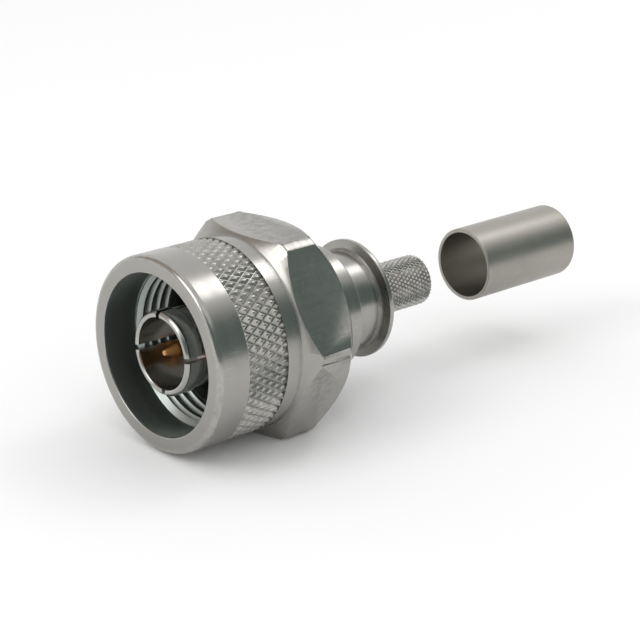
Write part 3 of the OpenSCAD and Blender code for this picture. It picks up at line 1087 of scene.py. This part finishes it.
class CRIMPPLUG_OT_insulators(bpy.types.Operator):
    """Model the front insulator and give the rear one its finish"""

    bl_idname = "crimp_plug.insulators"
    bl_label = "Insulators"

    def execute(self, context):
        s = InMillimetres(context.scene.plug_contacts)
        bead = turned(
            [
                (s.bead_front, s.contact_od / 2, 0.1),
                (s.bead_front, s.line_bore / 2, 0.12),
                (s.bead_rear, s.line_bore / 2, 0.1),
                (s.bead_rear, s.contact_od / 2, 0.05),
            ]
        )
        tint = context.scene.plug_finishes.dielectric
        finish = polymer(
            "insulator_polymer", tint, [channel * 0.72 for channel in tint], 0.42, 1.6e-6, 0.15
        )
        finish_piece("front_bead", bead, "connector", "front_insulator", [finish])
        dress_node("rear_insulator", finish)
        return {"FINISHED"}


class CRIMPPLUG_OT_gasket_and_ring(bpy.types.Operator):
    """Model the gasket and give the snap ring its finish"""

    bl_idname = "crimp_plug.gasket_and_ring"
    bl_label = "Gasket and snap ring"

    def execute(self, context):
        s = InMillimetres(context.scene.plug_contacts)
        ring = turned(
            [
                (s.seal_front, s.seal_bore / 2, 0.25),
                (s.seal_front, s.seal_od / 2, 0.4),
                (s.seal_rear, s.seal_od / 2, 0.15),
                (s.seal_rear, s.seal_bore / 2, 0.1),
            ]
        )
        finishes = context.scene.plug_finishes
        rubber = polymer(
            "gasket_rubber", finishes.rubber, [channel * 0.5 for channel in finishes.rubber],
            0.58, 2.2e-6,
        )
        finish_piece("sealing_ring", ring, "connector", "gasket", [rubber])
        dress_node(
            "snap_ring",
            plated_metal(
                "snap_ring_spring", finishes.spring, 0.3, lathe_marks, 7000.0, 1e-6, wear=0.5,
                grime=0.4,
            ),
        )
        return {"FINISHED"}


class CRIMPPLUG_OT_crimp_ferrule(bpy.types.Operator):
    """Model the loose crimp ferrule"""

    bl_idname = "crimp_plug.crimp_ferrule"
    bl_label = "Crimp ferrule"

    def execute(self, context):
        s = InMillimetres(context.scene.plug_ferrule)
        bore = s.od / 2 - s.wall
        tube = turned(
            [
                (s.front, bore, 0.06),
                (s.front, s.od / 2, s.edge_round),
                (s.rear, s.od / 2, s.edge_round),
                (s.rear, bore, 0.06),
            ]
        )
        finish = plated_metal(
            "ferrule_satin", context.scene.plug_finishes.satin, 0.34, lathe_marks, 7000.0, 1.1e-6,
            wear=0.5, grime=0.3, film=0.3, grain=1.0e-6,
        )
        finish_piece("ferrule_tube", tube, "ferrule", "crimp_ferrule", [finish])
        return {"FINISHED"}


class CRIMPPLUG_OT_studio(bpy.types.Operator):
    """Set out the floor, the lights and the camera"""

    bl_idname = "crimp_plug.studio"
    bl_label = "Studio"

    def execute(self, context):
        s = context.scene.plug_studio
        self.lay_floor(s)
        self.light_room(context, s)
        self.hang_softboxes(context, s)
        self.set_camera(context, s)
        context.scene.view_settings.view_transform = "Standard"
        return {"FINISHED"}

    def lay_floor(self, s):
        bm = bmesh.new()
        bmesh.ops.create_grid(
            bm, x_segments=1, y_segments=1, size=s.floor_size / 2,
            matrix=Matrix.Translation((0, 0, FLOOR_LEVEL)),
        )
        mesh = bpy.data.meshes.new("floor")
        bm.to_mesh(mesh)
        bm.free()
        floor = bpy.data.objects.new("floor", mesh)
        bpy.context.scene.collection.objects.link(floor)
        material, graph, shader = start_material("floor_pale")
        shader.inputs["Base Color"].default_value = rgba(s.floor_colour)
        shader.inputs["Roughness"].default_value = 0.9
        shader.inputs["Specular IOR Level"].default_value = 0.0
        floor.data.materials.append(material)

    def light_room(self, context, s):
        """An even light, which the camera sees as white. Polished metal sees the same white
        behind and above the plug, and the unlit side of the room in front of it."""
        world = bpy.data.worlds.new("room")
        world.use_nodes = True
        context.scene.world = world
        graph = Graph(world.node_tree)
        world.node_tree.nodes.clear()
        path = graph.node("ShaderNodeLightPath").outputs
        facing = graph.node(
            "ShaderNodeSeparateXYZ", {0: graph.node("ShaderNodeTexCoord").outputs["Generated"]}
        ).outputs
        front_side = graph.remap(facing["Y"], -0.12, -0.4)
        below_lamps = graph.remap(facing["Z"], 0.76, 0.52)
        dark = graph.math("MULTIPLY", front_side, below_lamps)
        left_side = graph.remap(facing["X"], 0.05, -0.25)
        upper = graph.remap(facing["Z"], 0.15, 0.4)
        behind = graph.remap(facing["Y"], 0.1, 0.4)
        corner = graph.math("MULTIPLY", graph.math("MULTIPLY", left_side, upper), behind)
        walls = graph.mix(corner, (1, 1, 1, 1), rgba(s.corner))
        seen = graph.mix(dark, walls, rgba(s.room))
        reflected = graph.math("MAXIMUM", path["Is Glossy Ray"], path["Is Transmission Ray"])
        even = graph.node("ShaderNodeBackground", {"Color": (1, 1, 1, 1), "Strength": s.fill})
        mirrored = graph.node("ShaderNodeBackground", {"Color": seen, "Strength": 1.0})
        white = graph.node("ShaderNodeBackground", {"Color": (1, 1, 1, 1), "Strength": 1.0})
        for_metal = graph.node(
            "ShaderNodeMixShader", {0: reflected, 1: even.outputs[0], 2: mirrored.outputs[0]}
        )
        for_camera = graph.node(
            "ShaderNodeMixShader",
            {0: path["Is Camera Ray"], 1: for_metal.outputs[0], 2: white.outputs[0]},
        )
        graph.node("ShaderNodeOutputWorld", {"Surface": for_camera.outputs[0]})

    def hang_softboxes(self, context, s):
        """A long softbox overhead, past the plug, with its long side pointing away from the
        camera, and a square one to the left of the nut's mouth."""
        for name, place_at, size, radiance in (
            ("overhead_softbox", Vector((0.262, -0.021, 0.33)), (0.17, 0.112), s.softbox),
            ("side_softbox", Vector((-0.30, 0.045, 0.236)), (0.2, 0.2), s.side_softbox),
        ):
            lamp = bpy.data.lights.new(name, "AREA")
            lamp.shape = "RECTANGLE"
            lamp.size, lamp.size_y = size
            lamp.energy = radiance * math.pi * size[0] * size[1]
            box = bpy.data.objects.new(name, lamp)
            context.scene.collection.objects.link(box)
            box.location = place_at
            if name == "overhead_softbox":
                box.rotation_euler = (0, 0, s.azimuth + math.pi / 2)
            else:
                box.rotation_euler = place_at.to_track_quat("Z", "Y").to_euler()

    def set_camera(self, context, s):
        camera = bpy.data.cameras.new("camera")
        camera.lens = s.lens
        camera.clip_start, camera.clip_end = 0.005, 20
        view = bpy.data.objects.new("camera", camera)
        context.scene.collection.objects.link(view)
        back = Vector(
            (
                math.sin(s.azimuth) * math.cos(s.elevation),
                -math.cos(s.azimuth) * math.cos(s.elevation),
                math.sin(s.elevation),
            )
        )
        aim = back.to_track_quat("Z", "Y").to_matrix() @ Matrix.Rotation(s.roll, 3, "Z")
        view.matrix_world = Matrix.Translation(Vector(s.target) + back * s.distance) @ aim.to_4x4()
        context.scene.camera = view


class CRIMPPLUG_PT_pieces(bpy.types.Panel):
    """The plug's pieces and their sizes"""

    bl_idname = "CRIMPPLUG_PT_pieces"
    bl_label = "Crimp plug"
    bl_space_type = "VIEW_3D"
    bl_region_type = "UI"
    bl_category = "Crimp plug"

    def draw(self, context):
        for operator in OPERATORS:
            self.layout.operator(operator.bl_idname)
        for name, group in GROUPS.items():
            box = self.layout.box()
            box.label(text=group.__name__)
            for prop in group.__annotations__:
                box.prop(getattr(context.scene, name), prop)


OPERATORS = (
    CRIMPPLUG_OT_coupling_nut,
    CRIMPPLUG_OT_connector_body,
    CRIMPPLUG_OT_outer_contact,
    CRIMPPLUG_OT_centre_contact,
    CRIMPPLUG_OT_insulators,
    CRIMPPLUG_OT_gasket_and_ring,
    CRIMPPLUG_OT_crimp_ferrule,
    CRIMPPLUG_OT_studio,
)


def register():
    for group in GROUPS.values():
        bpy.utils.register_class(group)
    for name, group in GROUPS.items():
        setattr(bpy.types.Scene, name, PointerProperty(type=group))
    for operator in OPERATORS:
        bpy.utils.register_class(operator)
    bpy.utils.register_class(CRIMPPLUG_PT_pieces)


def unregister():
    bpy.utils.unregister_class(CRIMPPLUG_PT_pieces)
    for operator in reversed(OPERATORS):
        bpy.utils.unregister_class(operator)
    for name in GROUPS:
        delattr(bpy.types.Scene, name)
    for group in reversed(GROUPS.values()):
        bpy.utils.unregister_class(group)


def main():
    register()
    bpy.ops.crimp_plug.coupling_nut()
    bpy.ops.crimp_plug.connector_body()
    bpy.ops.crimp_plug.outer_contact()
    bpy.ops.crimp_plug.centre_contact()
    bpy.ops.crimp_plug.insulators()
    bpy.ops.crimp_plug.gasket_and_ring()
    bpy.ops.crimp_plug.crimp_ferrule()
    bpy.ops.crimp_plug.studio()


if __name__ == "__main__":
    main()
